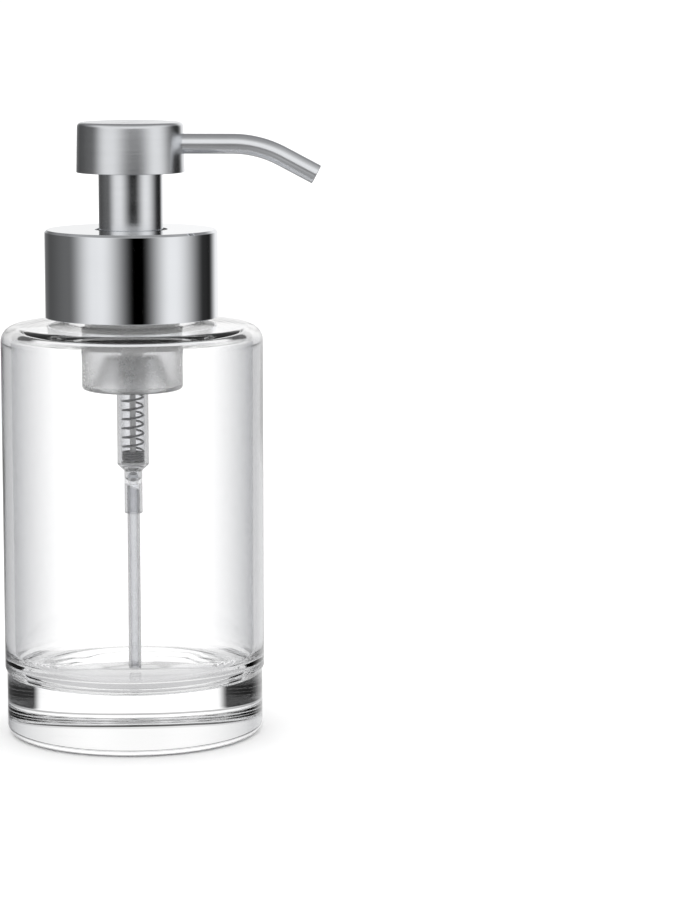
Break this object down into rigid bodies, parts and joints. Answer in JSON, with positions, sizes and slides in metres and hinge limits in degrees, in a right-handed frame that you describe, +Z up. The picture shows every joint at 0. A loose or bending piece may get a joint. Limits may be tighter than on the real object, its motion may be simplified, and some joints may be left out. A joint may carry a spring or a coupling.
{
  "type": "soap pump dispenser",
  "caption": "Foaming soap pump dispenser: thick-based cylindrical glass bottle, screw-on metal collar, sprung press head and a long curved spout.",
  "frame": {"origin": "centre of the bottle's flat base, on the axis that the turned pieces share", "axes": "+Z up along the bottle and pump, +X along the spout when it points forward"},
  "size_m": [0.1003, 0.082, 0.192],
  "materials": {
    "clear_glass": "clear, thick base, polished",
    "polished_metal": "polished stainless steel",
    "brushed_metal": "finely brushed stainless steel",
    "spring_steel": "drawn wire",
    "steel_ball": "ground ball",
    "frosted_plastic": "translucent natural polypropylene",
    "white_plastic": "moulded white polypropylene",
    "dark_plastic": "moulded dark grey plastic",
    "soft_rubber": "soft off-white seal"
  },
  "bodies": {
    "bottle": {"glass_bottle": "clear_glass"},
    "seal": {"rim_gasket": "soft_rubber"},
    "pump": {"pump_housing": "frosted_plastic", "cylinder_cover": "white_plastic", "dip_tube": "frosted_plastic", "valve_rod": "white_plastic", "return_spring": "spring_steel"},
    "inlet_valve": {"inlet_ball": "steel_ball"},
    "collar": {"collar_shell": "polished_metal", "screw_cap": "white_plastic", "collar_bush": "dark_plastic"},
    "plunger": {"stem": "white_plastic", "liquid_piston": "white_plastic", "air_piston": "white_plastic", "air_valve": "soft_rubber", "mesh_cartridge": "white_plastic", "lower_mesh": "white_plastic", "upper_mesh": "white_plastic"},
    "head": {"head_shell": "brushed_metal", "head_core": "white_plastic", "neck_sleeve": "brushed_metal", "spout_tube": "brushed_metal", "spout_liner": "white_plastic"}
  },
  "joints": [
    {"name": "pump_lift", "type": "slide", "parent": "bottle", "child": "seal", "axis": [0, 0, 1], "range_m": [0, 0.135]},
    {"name": "pump_rise", "type": "slide", "parent": "seal", "child": "pump", "axis": [0, 0, 1], "range_m": [0, 0.00424]},
    {"name": "collar_turn", "type": "hinge", "parent": "pump", "child": "collar", "pos_m": [0, 0, 0.1449], "axis": [0, 0, 1], "range_deg": [0, 360]},
    {"name": "ball_lift", "type": "slide", "parent": "pump", "child": "inlet_valve", "axis": [0, 0, 1], "range_m": [0, 0.002]},
    {"name": "head_press", "type": "slide", "parent": "pump", "child": "plunger", "axis": [0, 0, -1], "range_m": [0, 0.013], "stiffness_N_per_m": 600, "springref_m": -0.01, "deforming": ["return_spring"]},
    {"name": "head_turn", "type": "hinge", "parent": "plunger", "child": "head", "pos_m": [0, 0, 0.1843], "axis": [0, 0, 1], "continuous": true}
  ],
  "couplings": [
    {"joint": "pump_rise", "follows": "collar_turn", "m_per_rad": 0.0006737}
  ]
}
